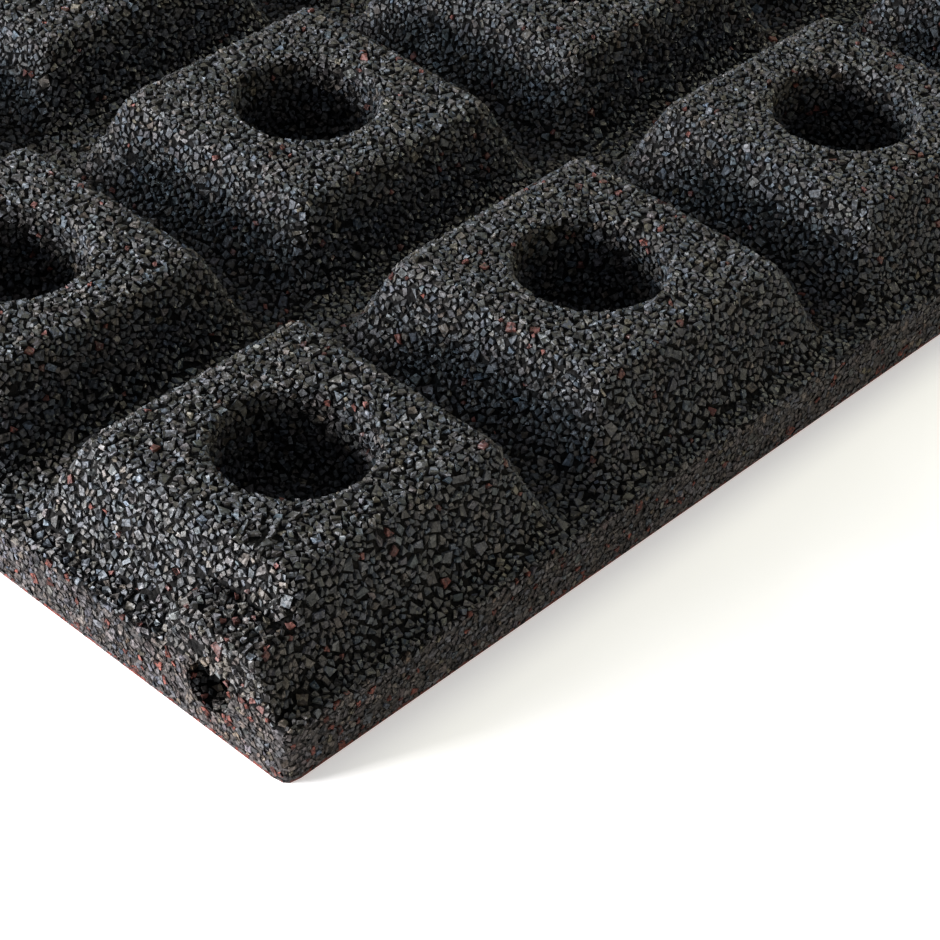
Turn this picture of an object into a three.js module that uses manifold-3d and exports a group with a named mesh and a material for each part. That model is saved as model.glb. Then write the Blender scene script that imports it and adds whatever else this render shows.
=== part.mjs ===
// Rubber playground tile, modelled as it lies in the picture: wearing face down, feet up.
// One moulded piece of bound rubber granulate. Its feet are square frustums in a grid, each
// with a round blind hole in its top. Raised bosses on two opposite sides carry the blind
// sockets that take the pins joining one tile to the next.
//
// Millimetres, +Z up. The origin is at the middle of the wearing face, on the ground.
// X runs across the two sides with sockets, Y along them.

import * as THREE from 'three';
import { mergeVertices } from 'three/addons/utils/BufferGeometryUtils.js';
import Module from 'manifold-3d';

const wasm = await Module();
wasm.setup();

// Slab
const tileLength = 500;            // along X, from one socket side to the other
const tileWidth = 500;             // along Y
const slabThickness = 21.5;
const slabCornerRadius = 4;        // upright corners, in plan
const wearingEdgeRadius = 2.5;     // around the wearing face
const ledgeEdgeRadius = 1.5;       // around the side with the feet

// Feet
const footHeight = 28.5;           // above the slab
const footPitch = 125;
const footTopWidth = 84;           // across the flanks carried up to the foot's top
const footBaseWidth = 108;         // across the flanks carried down to the slab
const footTopCorner = 5;           // rounding of the flank corners in plan, at the top
const footBaseCorner = 7;          // and at the slab
const footEdgeRadius = 3;          // around the foot's top
const footFillet = 4.5;            // where the flanks run out on to the slab

// Blind hole in the top of each foot
const holeRadius = 24;             // at the foot's top
const holeFloorRadius = 22.5;
const holeDepth = 30;
const holeRimRadius = 2;
const holeFloorFillet = 4;

// Pin sockets, one to each foot along the socket sides
const socketRadius = 7.75;
const socketDepth = 35;
const socketHeight = 17.2;         // of its axis above the wearing face
const socketOffset = 31.2;         // of its axis from the middle of its foot

// Boss around each socket, flush with the tile's side
const bossHeight = 17;             // above the slab
const bossWidth = 45;              // at the slab
const bossProud = 3.5;             // its outer side beyond the foot's own flank
const bossInnerDraft = 3;          // lean of its inner side from slab to top
const bossSink = 1.5;              // its outer side below the foot's flank where it ends
const bossCornerRadius = 2.5;
const bossEdgeRadius = 3;

// Facets
const cornerSteps = 3;
const holeFacets = 24;
const socketFacets = 16;

const tileHeight = slabThickness + footHeight;
const rubber = new THREE.MeshStandardMaterial({ color: 0x3b3937, roughness: 0.95, metalness: 0 });

// The outline of a convex corner list, each corner rounded from a given distance along its
// two sides. Every outline of four corners has as many points, so outlines can be stacked.
function roundedOutline(corners, cut, z) {
  const points = [];
  corners.forEach((corner, i) => {
    const before = corners[(i + corners.length - 1) % corners.length];
    const after = corners[(i + 1) % corners.length];
    const into = before.clone().sub(corner).setLength(cut).add(corner);
    const out = after.clone().sub(corner).setLength(cut).add(corner);
    for (const p of new THREE.QuadraticBezierCurve(into, corner, out).getPoints(cornerSteps)) {
      points.push(new THREE.Vector3(p.x, p.y, z));
    }
  });
  return points;
}

function rectangle(halfX, halfY) {
  return [
    new THREE.Vector2(-halfX, -halfY), new THREE.Vector2(halfX, -halfY),
    new THREE.Vector2(halfX, halfY), new THREE.Vector2(-halfX, halfY),
  ];
}

// A closed body through outlines stacked from bottom to top.
function stack(outlines) {
  const count = outlines[0].length;
  const index = [];
  for (let level = 0; level + 1 < outlines.length; level++) {
    for (let i = 0; i < count; i++) {
      const a = level * count + i;
      const b = level * count + (i + 1) % count;
      index.push(a, b, b + count, a, b + count, a + count);
    }
  }
  const top = (outlines.length - 1) * count;
  for (let i = 1; i + 1 < count; i++) {
    index.push(0, i + 1, i, top, top + i, top + i + 1);
  }
  const geometry = new THREE.BufferGeometry().setFromPoints(outlines.flat());
  geometry.setIndex(index);
  return geometry;
}

function toSolid(geometry) {
  const bare = geometry.clone();
  bare.deleteAttribute('normal');
  bare.deleteAttribute('uv');
  const merged = mergeVertices(bare, 1e-4);
  return new wasm.Manifold(new wasm.Mesh({
    numProp: 3,
    vertProperties: new Float32Array(merged.getAttribute('position').array),
    triVerts: new Uint32Array(merged.getIndex().array),
  }));
}

function toGeometry(solid) {
  const mesh = solid.getMesh();
  const geometry = new THREE.BufferGeometry();
  geometry.setAttribute('position', new THREE.BufferAttribute(mesh.vertProperties, 3));
  geometry.setIndex(new THREE.BufferAttribute(mesh.triVerts, 1));
  return geometry;
}

// How far a quarter round of a given radius stands in from its flat side, at a level
// measured from where the round begins.
function roundInset(radius, rise) {
  return radius - Math.sqrt(radius * radius - rise * rise);
}

function slab() {
  const levels = [
    [0, wearingEdgeRadius],
    [wearingEdgeRadius * 0.3, roundInset(wearingEdgeRadius, wearingEdgeRadius * 0.7)],
    [wearingEdgeRadius, 0],
    [slabThickness - ledgeEdgeRadius, 0],
    [slabThickness - ledgeEdgeRadius * 0.3, roundInset(ledgeEdgeRadius, ledgeEdgeRadius * 0.7)],
    [slabThickness, ledgeEdgeRadius],
  ];
  return stack(levels.map(([z, inset]) => roundedOutline(
    rectangle(tileLength / 2 - inset, tileWidth / 2 - inset), slabCornerRadius, z)));
}

// One foot without its hole, about its own middle and with its root inside the slab.
function foot() {
  const flankAt = (rise) => {
    const share = rise / footHeight;
    return [
      THREE.MathUtils.lerp(footBaseWidth, footTopWidth, share) / 2,
      THREE.MathUtils.lerp(footBaseCorner, footTopCorner, share),
    ];
  };
  const levels = [];
  const level = (rise, outset) => {
    const [half, corner] = flankAt(Math.max(rise, 0));
    levels.push(roundedOutline(rectangle(half + outset, half + outset),
      corner + Math.max(outset, -corner / 2), slabThickness + rise));
  };
  level(-slabThickness / 2, footFillet);
  level(0, footFillet);
  level(footFillet * 0.3, roundInset(footFillet, footFillet * 0.7));
  level(footFillet, 0);
  level(footHeight - footEdgeRadius, 0);
  level(footHeight - footEdgeRadius * 0.3, -roundInset(footEdgeRadius, footEdgeRadius * 0.7));
  level(footHeight, -footEdgeRadius);
  return stack(levels);
}

// The space of a foot's blind hole, standing on its floor at z = 0.
function footHole() {
  const profile = [
    [0, 0],
    [holeFloorRadius - holeFloorFillet, 0],
    [holeFloorRadius - holeFloorFillet * 0.3, holeFloorFillet * 0.3],
    [holeFloorRadius, holeFloorFillet],
    [holeRadius, holeDepth - holeRimRadius],
    [holeRadius + holeRimRadius * 0.3, holeDepth - holeRimRadius * 0.3],
    [holeRadius + holeRimRadius, holeDepth],
    [holeRadius + holeRimRadius, holeDepth + 1],
    [0, holeDepth + 1],
  ].map(([r, z]) => new THREE.Vector2(r, z));
  return new THREE.LatheGeometry(profile, holeFacets).rotateX(Math.PI / 2);
}

// One boss, its flat front at x = 0 and running in along +X. Y is measured from the middle of
// its foot, and the boss lies on the side of lower Y, where it follows the foot's flank.
function boss(length) {
  const outlineAt = (rise, inset) => {
    const flank = THREE.MathUtils.lerp(footBaseWidth, footTopWidth, rise / footHeight) / 2;
    const outer = flank + bossProud - inset;
    const inner = footBaseWidth / 2 + bossProud - bossWidth + bossInnerDraft * rise / bossHeight + inset;
    return roundedOutline([
      new THREE.Vector2(inset, -outer), new THREE.Vector2(length, -(flank - bossSink - inset)),
      new THREE.Vector2(length, -inner), new THREE.Vector2(inset, -inner),
    ], bossCornerRadius, slabThickness + rise);
  };
  const root = outlineAt(0, 0).map((p) => p.clone().setZ(slabThickness / 2));
  return stack([
    root,
    outlineAt(0, 0),
    outlineAt(bossHeight - bossEdgeRadius, 0),
    outlineAt(bossHeight - bossEdgeRadius * 0.3, roundInset(bossEdgeRadius, bossEdgeRadius * 0.7)),
    outlineAt(bossHeight, bossEdgeRadius),
  ]);
}

// The space of a pin socket, its mouth just outside x = 0 and running in along +X.
function socket() {
  const outside = 1;
  return new THREE.CylinderGeometry(socketRadius, socketRadius, socketDepth + outside, socketFacets)
    .rotateZ(Math.PI / 2)
    .translate((socketDepth - outside) / 2, 0, 0);
}

// As many feet as stand clear on the tile, centred on it.
function footCentres(span) {
  const reach = footBaseWidth + 2 * footFillet;
  const count = Math.max(1, Math.floor((span - reach) / footPitch + 1e-6) + 1);
  return Array.from({ length: count }, (_, i) => (i - (count - 1) / 2) * footPitch);
}

const footX = footCentres(tileLength);
const footY = footCentres(tileWidth);
const footShape = toSolid(foot());
const holeShape = toSolid(footHole());
let body = toSolid(slab());

for (const x of footX) {
  for (const y of footY) {
    body = body.add(footShape.translate([x, y, 0]));
  }
}

// Each foot along a socket side has one boss and socket, on the outer side of the first foot of
// a pair and mirrored for the next, so that tiles laid half a tile apart still meet socket to
// socket.
const sideX = tileLength / 2;
const sideToFoot = sideX - footX[footX.length - 1];
const bossShape = toSolid(boss(sideToFoot - footTopWidth / 2 + footEdgeRadius));
const socketShape = toSolid(socket()).translate([0, -socketOffset, socketHeight]);

function onBothSides(shape, join) {
  footY.forEach((y, i) => {
    const turned = i % 2 === 0 ? shape : shape.mirror([0, 1, 0]);
    const left = turned.translate([-sideX, y, 0]);
    body = join(join(body, left), left.mirror([1, 0, 0]));
  });
}

onBothSides(bossShape, (whole, piece) => whole.add(piece));

for (const x of footX) {
  for (const y of footY) {
    body = body.subtract(holeShape.translate([x, y, tileHeight - holeDepth]));
  }
}

onBothSides(socketShape, (whole, piece) => whole.subtract(piece));

const tile = new THREE.Mesh(toGeometry(body), rubber);
tile.name = 'rubber_tile';

const group = new THREE.Group();
group.name = 'rubber_playground_tile';
group.add(tile);

export default group;
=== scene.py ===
"""Looks for the moulded rubber tile: bound granules on every face, a soft studio and the camera."""

import math

import bpy
import numpy as np
from mathutils import Matrix, Vector
from mathutils.bvhtree import BVHTree
from mathutils.kdtree import KDTree

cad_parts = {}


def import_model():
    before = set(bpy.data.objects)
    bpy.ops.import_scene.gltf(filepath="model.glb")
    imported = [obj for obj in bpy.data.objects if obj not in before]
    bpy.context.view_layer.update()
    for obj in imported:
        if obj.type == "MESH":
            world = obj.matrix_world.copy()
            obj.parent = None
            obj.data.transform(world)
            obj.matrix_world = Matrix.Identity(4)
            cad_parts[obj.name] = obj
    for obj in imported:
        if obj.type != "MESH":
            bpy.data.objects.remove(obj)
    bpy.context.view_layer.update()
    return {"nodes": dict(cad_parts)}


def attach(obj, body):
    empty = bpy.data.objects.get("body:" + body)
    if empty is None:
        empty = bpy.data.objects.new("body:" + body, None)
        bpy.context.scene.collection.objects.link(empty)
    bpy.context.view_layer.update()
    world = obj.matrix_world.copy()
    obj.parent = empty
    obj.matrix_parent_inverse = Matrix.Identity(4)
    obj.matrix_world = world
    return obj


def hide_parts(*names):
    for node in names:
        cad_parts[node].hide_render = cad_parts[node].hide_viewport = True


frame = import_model()
rng = np.random.default_rng(7)

# Camera

PITCH = 0.125  # metres between feet; the camera's place is given in pitches from the tile's front corner
CORNER = Vector((-0.25, -0.25, 0.0))
AZIMUTH, ELEVATION = 0.7328, 0.6965
DISTANCE = 7.376
TARGET = Vector((1.0661, 0.4729, 0.0))
ROLL = -0.0486
FOCAL_PX = 3024.1
IMAGE_PX = 940.0
SENSOR = 36.0
NEAREST_SEEN, FARTHEST_SEEN = 0.05, 20.0


def new_object(name, data):
    obj = bpy.data.objects.new(name, data)
    bpy.context.scene.collection.objects.link(obj)
    return obj


def make_camera():
    level = math.cos(ELEVATION)
    back = Vector((-math.cos(AZIMUTH) * level, -math.sin(AZIMUTH) * level, math.sin(ELEVATION)))
    ahead = -back
    right = ahead.cross(Vector((0, 0, 1))).normalized()
    down = ahead.cross(right)
    cosine, sine = math.cos(ROLL), math.sin(ROLL)
    right, down = cosine * right + sine * down, -sine * right + cosine * down
    data = bpy.data.cameras.new("camera")
    data.sensor_width = SENSOR
    data.sensor_fit = "HORIZONTAL"
    data.lens = FOCAL_PX / IMAGE_PX * SENSOR
    data.clip_start, data.clip_end = NEAREST_SEEN, FARTHEST_SEEN
    camera = new_object("camera", data)
    spot = CORNER + (TARGET + DISTANCE * back) * PITCH
    turn = Matrix((right, -down, -ahead)).transposed()
    camera.matrix_world = Matrix.Translation(spot) @ turn.to_4x4()
    bpy.context.scene.camera = camera


make_camera()

# The tile's solid as arrays

WELD_STEPS = 1e6  # to a metre; corners in the same step are one


def mesh_arrays(obj):
    """Welded corner points and triangles of a mesh, in metres."""
    mesh = obj.data
    mesh.calc_loop_triangles()
    coords = np.zeros(len(mesh.vertices) * 3)
    mesh.vertices.foreach_get("co", coords)
    tris = np.zeros(len(mesh.loop_triangles) * 3, np.int64)
    mesh.loop_triangles.foreach_get("vertices", tris)
    coords = coords.reshape(-1, 3)
    steps = np.round(coords * WELD_STEPS).astype(np.int64)
    _, first, back = np.unique(steps, axis=0, return_index=True, return_inverse=True)
    tris = back.reshape(-1)[tris].reshape(-1, 3)
    whole = (tris[:, 0] != tris[:, 1]) & (tris[:, 1] != tris[:, 2]) & (tris[:, 0] != tris[:, 2])
    return coords[first], tris[whole]


def normals_and_areas(corners, tris):
    start = corners[tris[:, 0]]
    across = np.cross(corners[tris[:, 1]] - start, corners[tris[:, 2]] - start)
    length = np.linalg.norm(across, axis=1)
    return across / np.maximum(length, 1e-20)[:, None], length / 2


solid = frame["nodes"]["rubber_tile"]
points, triangles = mesh_arrays(solid)
face_normals, face_areas = normals_and_areas(points, triangles)
low = points.min(0)

# Materials

CRUMB = 0.0013  # the finest crumbs that a granule's surface breaks up into
WARP = 0.8  # waviness of the crumbs' borders, in waves to a crumb
CRACK_SHADE_BLEND = 0.2  # how gradually the painted shade of the cracks darkens a crumb towards its border
# painted shade: the colour left at a crumb's border, standing in for the shadow in the cracks between crumbs
CRACK_SHADE_TONE = 0.1
GLOSS = (0.42, 0.8)  # roughness from crumb to crumb
RED_REACH = 0.0010  # how far up the coloured layer of the wearing face shows
RED_BLEND = 0.0001
LOW_RED = (0.10, 0.027, 0.020, 1)
CORE_CRUMBS = 750.0  # crumbs to a metre
# near-black crumbs of the core: painted shade in the gaps between the granules
CORE_GAP_SHADE = ((0.002, 0.002, 0.002, 1), (0.010, 0.0095, 0.009, 1))
CORE_RED = ((0.16, 0.03, 0.02, 1), (0.34, 0.075, 0.045, 1))
CORE_RED_FROM, CORE_RED_TO = 0.0004, 0.0012  # heights between which the red of the core fades out
CORE_BUMP = 0.0009
HALF = (0.5, 0.5, 0.5)


def new_material(name):
    material = bpy.data.materials.new(name)
    material.use_nodes = True
    nodes = material.node_tree.nodes
    return material, nodes, material.node_tree.links, nodes["Principled BSDF"]


def ranged(nodes, links, source, low_in, high_in, low_out, high_out):
    """A value brought from one range to another, clamped."""
    node = nodes.new("ShaderNodeMapRange")
    node.inputs["From Min"].default_value = low_in
    node.inputs["From Max"].default_value = high_in
    node.inputs["To Min"].default_value = low_out
    node.inputs["To Max"].default_value = high_out
    links.new(source, node.inputs["Value"])
    return node.outputs["Result"]


def vector_step(nodes, links, operation, first, second):
    """One sum on vectors; the second may be a socket or three numbers."""
    node = nodes.new("ShaderNodeVectorMath")
    node.operation = operation
    links.new(first, node.inputs[0])
    if isinstance(second, tuple):
        node.inputs[1].default_value = second
    else:
        links.new(second, node.inputs[1])
    return node.outputs["Value" if operation == "DOT_PRODUCT" else "Vector"]


def colour_mix(nodes, links, factor, first, second):
    """One colour over another; the second may be a socket or four numbers."""
    mix = nodes.new("ShaderNodeMix")
    mix.data_type = "RGBA"
    links.new(factor, mix.inputs["Factor"])
    links.new(first, mix.inputs["A"])
    if isinstance(second, tuple):
        mix.inputs["B"].default_value = second
    else:
        links.new(second, mix.inputs["B"])
    return mix.outputs["Result"]


def times(nodes, links, colour, factor):
    node = nodes.new("ShaderNodeMix")
    node.data_type = "RGBA"
    node.blend_type = "MULTIPLY"
    node.inputs["Factor"].default_value = 1.0
    links.new(colour, node.inputs["A"])
    links.new(factor, node.inputs["B"])
    return node.outputs["Result"]


def height_above_ground(nodes, links, place):
    split = nodes.new("ShaderNodeSeparateXYZ")
    links.new(place.outputs["Object"], split.inputs["Vector"])
    return split.outputs["Z"]


def add_bump(nodes, links, shader, height, strength, distance, invert=False):
    bump = nodes.new("ShaderNodeBump")
    bump.inputs["Strength"].default_value = strength
    bump.inputs["Distance"].default_value = distance
    bump.invert = invert
    links.new(height, bump.inputs["Height"])
    links.new(bump.outputs["Normal"], shader.inputs["Normal"])


def red_near_ground(nodes, links, place, grey, colour):
    """The coloured layer of the wearing face reaches a little way up the sides, crumb by crumb."""
    limit = ranged(nodes, links, grey.outputs["Blue"], 0.0, 1.0, 0.0, RED_REACH)
    above = nodes.new("ShaderNodeMath")
    above.operation = "SUBTRACT"
    links.new(height_above_ground(nodes, links, place), above.inputs[0])
    links.new(limit, above.inputs[1])
    share = ranged(nodes, links, above.outputs["Value"], -RED_BLEND, RED_BLEND, 1.0, 0.0)
    return colour_mix(nodes, links, share, colour, LOW_RED)


def granule_material(name, tilt, tone_spread, crack_shade_from, sheen):
    """Bound granules, each in its mesh's colour and broken up into crumbs that lean each their own way, with
    painted shade darkening each crumb towards its border.
    """
    material, nodes, links, shader = new_material(name)
    tone = nodes.new("ShaderNodeAttribute")
    tone.attribute_name = "granule"
    place = nodes.new("ShaderNodeTexCoord")
    warp = nodes.new("ShaderNodeTexNoise")
    warp.inputs["Scale"].default_value = WARP / CRUMB
    warp.inputs["Detail"].default_value = 1.0
    links.new(place.outputs["Object"], warp.inputs["Vector"])
    centred = vector_step(nodes, links, "SUBTRACT", warp.outputs["Color"], HALF)
    shift = vector_step(nodes, links, "MULTIPLY", centred, (CRUMB, CRUMB, CRUMB))
    bent = vector_step(nodes, links, "ADD", place.outputs["Object"], shift)
    cells = nodes.new("ShaderNodeTexVoronoi")
    cells.inputs["Scale"].default_value = 1.0 / CRUMB
    links.new(bent, cells.inputs["Vector"])
    grey = nodes.new("ShaderNodeSeparateColor")
    links.new(cells.outputs["Color"], grey.inputs["Color"])
    crumb_tone = ranged(nodes, links, grey.outputs["Red"], 0.0, 1.0, 1 - tone_spread, 1 + tone_spread)
    # painted shade: each crumb darkens towards its border, where the cracks between crumbs lie in shadow
    crack_shade = ranged(nodes, links, cells.outputs["Distance"], crack_shade_from, crack_shade_from + CRACK_SHADE_BLEND, 1.0, CRACK_SHADE_TONE)
    colour = times(nodes, links, tone.outputs["Color"], crumb_tone)
    colour = times(nodes, links, colour, crack_shade)
    links.new(red_near_ground(nodes, links, place, grey, colour), shader.inputs["Base Color"])
    gloss = ranged(nodes, links, grey.outputs["Green"], 0.0, 1.0, *GLOSS)
    links.new(gloss, shader.inputs["Roughness"])
    shader.inputs["Specular IOR Level"].default_value = sheen
    lean = vector_step(nodes, links, "SUBTRACT", cells.outputs["Color"], HALF)
    from_centre = vector_step(nodes, links, "SUBTRACT", bent, cells.outputs["Position"])
    height = vector_step(nodes, links, "DOT_PRODUCT", lean, from_centre)
    add_bump(nodes, links, shader, height, 1.0, tilt)
    return material


def core_material():
    """What shows between the granules, coloured near black as painted shade in the gaps, and the
    fine-grained coloured wearing face below.
    """
    material, nodes, links, shader = new_material("rubber_core_gap_shade")
    shader.inputs["Roughness"].default_value = 1.0
    shader.inputs["Specular IOR Level"].default_value = 0.05
    place = nodes.new("ShaderNodeTexCoord")
    cells = nodes.new("ShaderNodeTexVoronoi")
    cells.inputs["Scale"].default_value = CORE_CRUMBS
    links.new(place.outputs["Object"], cells.inputs["Vector"])
    grey = nodes.new("ShaderNodeSeparateColor")
    links.new(cells.outputs["Color"], grey.inputs["Color"])

    def crumb_colours(channel, ends):
        ramp = nodes.new("ShaderNodeValToRGB")
        for element, colour in zip(ramp.color_ramp.elements, ends):
            element.color = colour
        links.new(grey.outputs[channel], ramp.inputs["Fac"])
        return ramp.outputs["Color"]

    height = height_above_ground(nodes, links, place)
    share = ranged(nodes, links, height, CORE_RED_FROM, CORE_RED_TO, 1.0, 0.0)
    dark, red = crumb_colours("Red", CORE_GAP_SHADE), crumb_colours("Green", CORE_RED)
    links.new(colour_mix(nodes, links, share, dark, red), shader.inputs["Base Color"])
    add_bump(nodes, links, shader, cells.outputs["Distance"], 0.9, CORE_BUMP, invert=True)
    return material


moulded = granule_material("rubber_moulded", tilt=1.7, tone_spread=0.35, crack_shade_from=0.66, sheen=0.4)
pressed = granule_material("rubber_side", tilt=1.3, tone_spread=0.5, crack_shade_from=0.5, sheen=0.1)
# the core's near-black colour is painted shade in the gaps between the granules
gap_shade_core = core_material()

# Core under the granules, its near-black colour painted shade in the gaps between them

SINK = 0.0012  # the core lies this far below the moulded faces
SIDE_SINK = 0.0005  # and this far behind the slab's sides, which are pressed flat
SIDE_TOP = 0.0225  # side faces lie lower than this
SIDE_FROM = 0.2455  # and farther out than this from the middle of the tile
SIDE_UP, SIDE_DOWN = 0.35, -0.99  # how far a side face's normal may turn up or down
SLIVER = 1e-12  # smaller faces don't move the core
SAME_WAY = 0.995  # faces whose normals agree this well count as one
DAMPING = 1e-3
MOST_MOVE = 2.2  # the farthest a corner moves, in sinks
ON_GROUND = 1e-4
CORE_LIFT = 0.0002  # of the core's wearing face off the ground
CORE_TONE = (0.041, 0.036, 0.034, 1.0)


def are_sides(at, normals):
    upright = (normals[:, 2] < SIDE_UP) & (normals[:, 2] > SIDE_DOWN)
    return upright & (at[:, 2] < SIDE_TOP) & (np.abs(at[:, :2]).max(1) > SIDE_FROM)


side_faces = are_sides(points[triangles].mean(1), face_normals)
face_sink = np.where(side_faces, SIDE_SINK, SINK)


def sunk_points():
    """Each corner moved in from every face that meets there, and kept near the ground where it is on it."""
    sunk = points.copy()
    faces_at = [[] for _ in range(len(points))]
    for face, corners in enumerate(triangles):
        if face_areas[face] > SLIVER:
            for corner in corners:
                faces_at[corner].append(face)
    for corner, faces in enumerate(faces_at):
        distinct, depths = [], []
        for face in faces:
            out = face_normals[face]
            if not any(float(out @ other) > SAME_WAY for other in distinct):
                distinct.append(out)
                depths.append(face_sink[face])
        if distinct:
            a = np.array(distinct)
            move = np.linalg.lstsq(a.T @ a + DAMPING * np.eye(3), -a.T @ np.array(depths), rcond=None)[0]
            length = np.linalg.norm(move)
            sunk[corner] += move * min(1.0, MOST_MOVE * SINK / max(length, 1e-9))
    sunk[points[:, 2] < ON_GROUND, 2] = CORE_LIFT
    return sunk


def add_mesh(name, verts, faces, material, colours):
    """A piece of the tile with a colour at each corner."""
    mesh = bpy.data.meshes.new(name)
    verts = np.ascontiguousarray(verts, dtype=np.float32)
    faces = np.ascontiguousarray(faces, dtype=np.int32)
    mesh.vertices.add(len(verts))
    mesh.vertices.foreach_set("co", verts.ravel())
    mesh.loops.add(faces.size)
    mesh.loops.foreach_set("vertex_index", faces.ravel())
    mesh.polygons.add(len(faces))
    mesh.polygons.foreach_set("loop_start", np.arange(0, faces.size, 3, dtype=np.int32))
    mesh.polygons.foreach_set("use_smooth", np.zeros(len(faces), dtype=bool))
    mesh.update(calc_edges=True)
    layer = mesh.color_attributes.new("granule", "FLOAT_COLOR", "POINT")
    layer.data.foreach_set("color", np.ascontiguousarray(colours, dtype=np.float32).ravel())
    mesh.materials.append(material)
    obj = new_object(name, mesh)
    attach(obj, "root")
    return obj


core = add_mesh("rubber_core_gap_shade", sunk_points(), triangles, gap_shade_core, np.tile(CORE_TONE, (len(points), 1)))
core.data.materials.append(pressed)
core.data.polygons.foreach_set("material_index", side_faces.astype(np.int32))
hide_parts("rubber_tile")

# Where the granules lie

SIZES = (0.0022, 0.0016, 0.00125, 0.001, 0.0008)  # granule radii, placed from large to small
TRIES = (2500, 14000, 45000, 140000, 380000)
SIZE_SPREAD = (0.86, 1.16)
REACH = 0.81  # how near two granules may come, as a share of their radii together
WEARING = -0.4  # faces that turn further down than this get no granules
MOST = 98500  # granules at most, so that the triangles stay under a million


def scatter():
    """Points on the solid's faces, spaced by granule size; not on the wearing face."""
    share = np.where(face_normals[:, 2] > WEARING, face_areas, 0.0)
    share /= share.sum()
    cell = 2 * SIZES[0]
    around = [(i, j, k) for i in (-1, 0, 1) for j in (-1, 0, 1) for k in (-1, 0, 1)]
    grid = {}
    kept = []
    for size, tries in zip(SIZES, TRIES):
        pick = rng.choice(len(triangles), tries, p=share)
        u, v = rng.random(tries), rng.random(tries)
        flip = u + v > 1
        u[flip], v[flip] = 1 - u[flip], 1 - v[flip]
        a, b, c = (points[triangles[pick, k]] for k in range(3))
        spot = a + u[:, None] * (b - a) + v[:, None] * (c - a)
        reach = size * rng.uniform(*SIZE_SPREAD, tries)
        cells = np.floor(spot / cell).astype(int).tolist()
        for (x, y, z), (i, j, k), r, face in zip(spot.tolist(), cells, reach.tolist(), pick.tolist()):
            near = (q for di, dj, dk in around for q in grid.get((i + di, j + dj, k + dk), ()))
            if all((x - px) ** 2 + (y - py) ** 2 + (z - pz) ** 2 >= ((r + pr) * REACH) ** 2
                   for px, py, pz, pr in near):
                grid.setdefault((i, j, k), []).append((x, y, z, r))
                kept.append((x, y, z, r, face))
    kept = np.array(kept[:MOST])
    return kept[:, :3], face_normals[kept[:, 4].astype(int)], kept[:, 3]


place, normal, radius = scatter()
count = len(place)
on_side = are_sides(place, normal)

# Their shapes

SIDES = 4
NEIGHBOURS = 13
FARTHEST = 2.0  # a granule's reach at most, in radii
BENT_FARTHEST = 1.5  # and where the ground is bent
BENT = 0.999  # the ground is bent where a neighbour's normal agrees less than this
NEAREST_BORDER = 0.3  # the least distance of the border to a neighbour, in radii
EDGE_BORDER = 0.45  # the least share of that distance that counts round an edge
SIDEWAYS = 0.05  # a neighbour farther to the side than this cosine is no limit
SIDE_EVENNESS = 0.3  # the side faces are pressed flatter than the moulded ones
TURN_SPREAD = 0.36  # of a granule's corners, as a share of the way to the next
OVERLAP, RAGGED = 1.05, 0.10  # reach past the borders, and how much of it corners may lack
GAP = (0.00001, 0.00009)
LEAST_REACH = 0.0003
LEAN = 0.28  # slope of the tops
DROP = 0.00032  # of the tops below the faces
DEEP_SHARE, DEEP_DROP = 0.08, 0.0007  # a few granules lie deeper than the rest
TAPER, BROKEN = 0.02, 0.12  # how much narrower the tops are, evenly and by chance
ROUGH = 0.00016  # how far the corners of a top stand off its plane
PROUDEST = 0.0002  # highest that a corner stands over the faces
BENT_DEPTH, BENT_ROUGH = 0.00005, 0.00015  # how deep corners lie on bent ground
SKIRT_DEPTH = SINK + 0.0003
BENT_SKIRT_DEPTH = SINK + 0.0002


def tangents():
    helper = np.where(np.abs(normal[:, 2:3]) < 0.9, [[0.0, 0.0, 1.0]], [[1.0, 0.0, 0.0]])
    u = np.cross(helper, normal)
    u /= np.linalg.norm(u, axis=1)[:, None]
    return u, np.cross(normal, u)


def neighbours():
    """The nearest granules of each, by number."""
    tree = KDTree(count)
    for i, spot in enumerate(place.tolist()):
        tree.insert(spot, i)
    tree.balance()
    found = np.zeros((count, NEIGHBOURS), np.int64)
    for i, spot in enumerate(place.tolist()):
        found[i] = [hit[1] for hit in tree.find_n(spot, NEIGHBOURS + 1)][1:NEIGHBOURS + 1]
    return found


def cell_reach(u, v, angle):
    """How far each granule reaches in each direction before a neighbour, and which lie on bent ground."""
    found = neighbours()
    apart = place[found] - place[:, None, :]
    du = (apart * u[:, None, :]).sum(2)
    dv = (apart * v[:, None, :]).sum(2)
    flat = np.maximum(np.hypot(du, dv), 1e-6)
    own, other = radius[:, None], radius[found]
    # the border lies nearer the smaller granule; a neighbour round an edge counts by its true distance
    full = np.linalg.norm(apart, axis=2)
    border = np.maximum((full ** 2 + own ** 2 - other ** 2) / (2 * full), NEAREST_BORDER * own)
    border *= np.maximum(flat / full, EDGE_BORDER)
    reach = np.tile(own * FARTHEST, (1, SIDES))
    for k in range(NEIGHBOURS):
        towards = np.cos(angle - np.arctan2(dv[:, k], du[:, k])[:, None])
        limit = border[:, k:k + 1] / np.maximum(towards, SIDEWAYS)
        reach = np.where(towards > SIDEWAYS, np.minimum(reach, limit), reach)
    bent = ((normal[found] * normal[:, None, :]).sum(2) < BENT).any(1)
    reach = np.where(bent[:, None], np.minimum(reach, BENT_FARTHEST * own), reach)
    return reach, bent


def keep_under(verts, bent, depth):
    """Moves corners of granules on bent ground back until they lie at least so deep under the faces."""
    tree = BVHTree.FromPolygons(points.tolist(), triangles.tolist())
    for i in np.nonzero(bent)[0].tolist():
        for k in range(verts.shape[1]):
            corner = Vector(verts[i, k])
            spot, out, _, _ = tree.find_nearest(corner)
            if spot is not None and (corner - spot).dot(out) > -depth[i]:
                verts[i, k] = spot - out * depth[i]
    return verts


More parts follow.
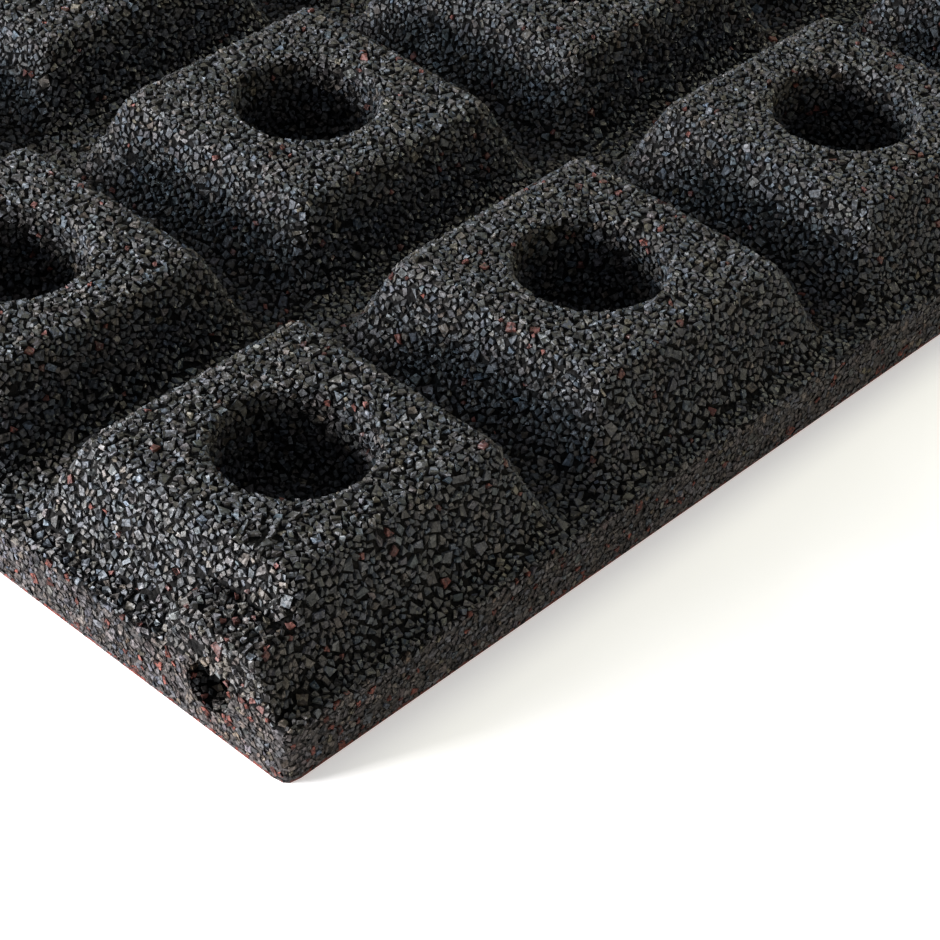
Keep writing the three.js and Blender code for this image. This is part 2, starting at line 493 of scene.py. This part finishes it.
def make_granules():
    """Angular chips that fill the cells between their neighbours, with leaning tops and sunk skirts."""
    shape = (count, SIDES)
    u, v = tangents()
    even = np.where(on_side, SIDE_EVENNESS, 1.0)[:, None]
    angle = np.arange(SIDES)[None, :] + rng.uniform(-TURN_SPREAD, TURN_SPREAD, shape)
    angle = angle + SIDES * rng.random((count, 1))
    angle = angle * 2 * math.pi / SIDES
    reach, bent = cell_reach(u, v, angle)
    reach = reach * (OVERLAP - RAGGED * even * rng.random(shape))
    reach = np.maximum(reach - even * rng.uniform(*GAP, (count, 1)), LEAST_REACH)
    x, y = np.cos(angle) * reach, np.sin(angle) * reach
    lean = even * rng.normal(0.0, LEAN, (count, 2))
    rise = -np.abs(rng.normal(0.0, DROP, count)) * even[:, 0]
    rise -= np.where(rng.random(count) < DEEP_SHARE, DEEP_DROP, 0.0)
    top_share = 1 - (TAPER + BROKEN * even * rng.random(shape))
    top_x, top_y = x * top_share, y * top_share
    top_z = rise[:, None] + top_x * lean[:, 0:1] + top_y * lean[:, 1:2] + even * rng.normal(0, ROUGH, shape)
    top_z = np.minimum(top_z, PROUDEST)
    skirt_z = np.full_like(x, -SKIRT_DEPTH)

    def world(along_u, along_v, up):
        return (place[:, None, :] + along_u[:, :, None] * u[:, None, :] + along_v[:, :, None] * v[:, None, :]
                + up[:, :, None] * normal[:, None, :])

    top = keep_under(world(top_x, top_y, top_z), bent, rng.normal(BENT_DEPTH, BENT_ROUGH, count))
    skirt = keep_under(world(x, y, skirt_z), bent, np.full(count, BENT_SKIRT_DEPTH))
    verts = np.concatenate([top, skirt], axis=1)
    verts[:, :, 2] = np.maximum(verts[:, :, 2], 0.0)
    faces = [(0, k, k + 1) for k in range(1, SIDES - 1)]
    for k in range(SIDES):
        after = (k + 1) % SIDES
        faces += [(k, SIDES + k, SIDES + after), (k, SIDES + after, after)]
    return verts, np.array(faces)


granule_verts, granule_faces = make_granules()

# Their colours

SIDE_TONE, MOULDED_TONE = 0.055, 0.048
TONE_SPREAD = 0.24
WARMTH_SPREAD, SIDE_WARMTH, RUSTY_WARMTH = 0.09, 0.05, 0.1
GREEN_SPREAD, SIDE_GREEN = 0.03, 0.04
RED, PALE = np.array([0.10, 0.033, 0.025]), np.array([0.08, 0.070, 0.050])
BRIGHTNESS = (0.45, 1.2)  # of the red and pale ones
RED_SHARE, SIDE_RED, LOW_SIDE_RED, RUSTY_RED = 0.014, 0.03, 0.08, 0.08
PALE_FROM = 0.985  # the rest of the granules up to 1 are pale
LOW_SIDE = 0.02  # height up to which the sides have more red
RUSTY_SPOT = np.array([-0.245, -0.225, 0.02])  # more of the crumbs are red around the boss at this corner
RUSTY_SIZE, RUSTY_CORE = 0.03, 1.3
DARKEST, PALEST = 0.004, 0.6


def random_colours():
    """A granule's own colour: black to grey rubber, with some red, rust and pale ones."""
    tone = np.exp(rng.normal(0.0, TONE_SPREAD, count)) * np.where(on_side, SIDE_TONE, MOULDED_TONE)
    from_boss = np.linalg.norm(place - RUSTY_SPOT, axis=1)
    rusty = np.clip(RUSTY_CORE - from_boss / RUSTY_SIZE, 0, 1)
    side_warmth = np.where(on_side, SIDE_WARMTH, 0.0)
    warmth = rng.normal(0.0, WARMTH_SPREAD, count) + side_warmth + RUSTY_WARMTH * rusty
    green = rng.normal(0.0, GREEN_SPREAD, count) - np.where(on_side, SIDE_GREEN, 0.0)
    colour = np.column_stack([tone * (1 + warmth), tone * (1 + green), tone * (1 - warmth)])
    kind = rng.random(count)
    bright = rng.uniform(*BRIGHTNESS, count)[:, None]
    low_side = np.where(on_side, np.clip(1 - place[:, 2] / LOW_SIDE, 0, 1) ** 2, 0.0)
    red = kind < RED_SHARE + SIDE_RED * on_side + LOW_SIDE_RED * low_side + RUSTY_RED * rusty
    colour[red] = RED * bright[red]
    pale = (kind > PALE_FROM) & ~red
    colour[pale] = PALE * bright[pale]
    return np.clip(colour, DARKEST, PALEST)


granule_colour = random_colours()

# Their pieces

MOST_TRIANGLES = 199000  # in a piece
PER_PIECE = MOST_TRIANGLES // len(granule_faces)


def add_granules(name, chosen, material):
    """Granules as pieces of a set size, taken row by row of feet."""
    rows = np.floor((place[chosen, 0] - low[0]) / PITCH)
    chosen = chosen[np.lexsort((place[chosen, 1], rows))]
    per = granule_verts.shape[1]
    for part, start in enumerate(range(0, len(chosen), PER_PIECE)):
        take = chosen[start:start + PER_PIECE]
        faces = (granule_faces[None] + (np.arange(len(take)) * per)[:, None, None]).reshape(-1, 3)
        colours = np.repeat(np.column_stack([granule_colour[take], np.ones(len(take))]), per, axis=0)
        add_mesh(f"{name}_{part + 1}", granule_verts[take].reshape(-1, 3), faces, material, colours)


add_granules("moulded_granules", np.nonzero(~on_side)[0], moulded)
add_granules("side_granules", np.nonzero(on_side)[0], pressed)

# Studio

FLOOR_HALF, FLOOR_LEVEL = 6.0, -0.0002
FLOOR_TONE = (0.86, 0.86, 0.86, 1)
FLOOR_GLOW, FLOOR_GLOW_STRENGTH = (1.0, 0.97, 0.93, 1), 0.36
WORLD_COLOUR, WORLD_STRENGTH = (0.86, 0.9, 1.0, 1), 0.44
AIM = Vector((0, 0, 0.02))


def floor():
    material, _, _, shader = new_material("studio_floor")
    shader.inputs["Base Color"].default_value = FLOOR_TONE
    shader.inputs["Roughness"].default_value = 0.8
    shader.inputs["Emission Color"].default_value = FLOOR_GLOW
    shader.inputs["Emission Strength"].default_value = FLOOR_GLOW_STRENGTH
    shader.inputs["Specular IOR Level"].default_value = 0.1
    mesh = bpy.data.meshes.new("studio_floor")
    square = ((-1, -1), (1, -1), (1, 1), (-1, 1))
    mesh.from_pydata([(FLOOR_HALF * x, FLOOR_HALF * y, FLOOR_LEVEL) for x, y in square], [], [(0, 1, 2, 3)])
    mesh.materials.append(material)
    new_object("studio_floor", mesh)


def area_light(name, turn, rise, distance, size, power, colour):
    """A soft rectangle aimed at the tile; turn goes from its left side to its back, rise from the ground."""
    turn, rise = math.radians(turn), math.radians(rise)
    level = math.cos(rise)
    away = Vector((-level * math.cos(turn), level * math.sin(turn), math.sin(rise)))
    data = bpy.data.lights.new(name, "AREA")
    data.shape = "RECTANGLE"
    data.size, data.size_y = size
    data.energy = power
    data.color = colour
    obj = new_object(name, data)
    obj.location = AIM + away * distance
    obj.rotation_mode = "QUATERNION"
    obj.rotation_quaternion = (-away).to_track_quat("-Z", "Y")


def world_light():
    world = bpy.data.worlds.new("studio")
    world.use_nodes = True
    background = world.node_tree.nodes["Background"]
    background.inputs["Color"].default_value = WORLD_COLOUR
    background.inputs["Strength"].default_value = WORLD_STRENGTH
    bpy.context.scene.world = world


floor()
area_light("window", 15, 12, 1.0, (0.45, 0.3), 32.0, (1.0, 0.98, 1.0))
area_light("sky", 50, 20, 2.1, (0.7, 0.5), 36.0, (0.65, 0.83, 1.0))
area_light("back", 170, 35, 2.1, (0.9, 0.6), 24.0, (1.0, 0.97, 0.7))
area_light("fill", -98, 12, 2.1, (1.2, 0.5), 8.5, (1.0, 0.86, 0.5))
world_light()
bpy.context.scene.view_settings.view_transform = "Standard"
